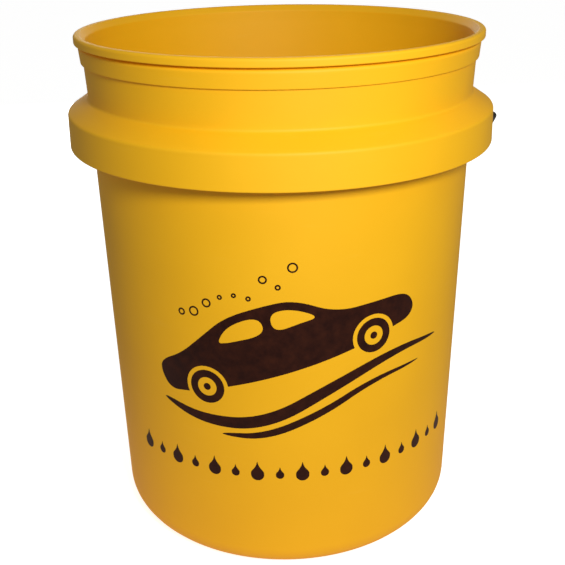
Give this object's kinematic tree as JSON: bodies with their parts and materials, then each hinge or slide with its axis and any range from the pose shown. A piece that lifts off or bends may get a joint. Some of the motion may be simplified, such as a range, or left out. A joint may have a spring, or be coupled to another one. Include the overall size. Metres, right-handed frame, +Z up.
{
  "type": "wash bucket",
  "caption": "Round tapered open-head wash bucket with a hollow skirt below the lip, a swinging wire bail and a roller grip.",
  "frame": {"origin": "middle of the foot ring, on the surface that the bucket stands on", "axes": "+Z up along the bucket's axis; the bail's two ears lie on the X axis; the bail hangs at the back, on the +Y side, so the printed front faces -Y"},
  "size_m": [0.314, 0.3089, 0.3677],
  "materials": {
    "bucket_plastic": "satin moulded polyethylene, yellow",
    "bail_steel": "black-coated steel wire, semi-gloss",
    "grip_plastic": "black moulded polyethylene",
    "print_ink": "black screen-printed ink"
  },
  "bodies": {
    "bucket": {"bucket_shell": "bucket_plastic"},
    "bail": {"bail_wire": "bail_steel"},
    "grip": {"grip_roller": "grip_plastic"}
  },
  "joints": [
    {"name": "bail_pivot", "type": "hinge", "parent": "bucket", "child": "bail", "pos_m": [0, 0, 0.304], "axis": [1, 0, 0], "range_deg": [0, 249]},
    {"name": "grip_spin", "type": "hinge", "parent": "bail", "child": "grip", "pos_m": [0, 0.14487, 0.20406], "axis": [1, 0, 0], "continuous": true}
  ]
}
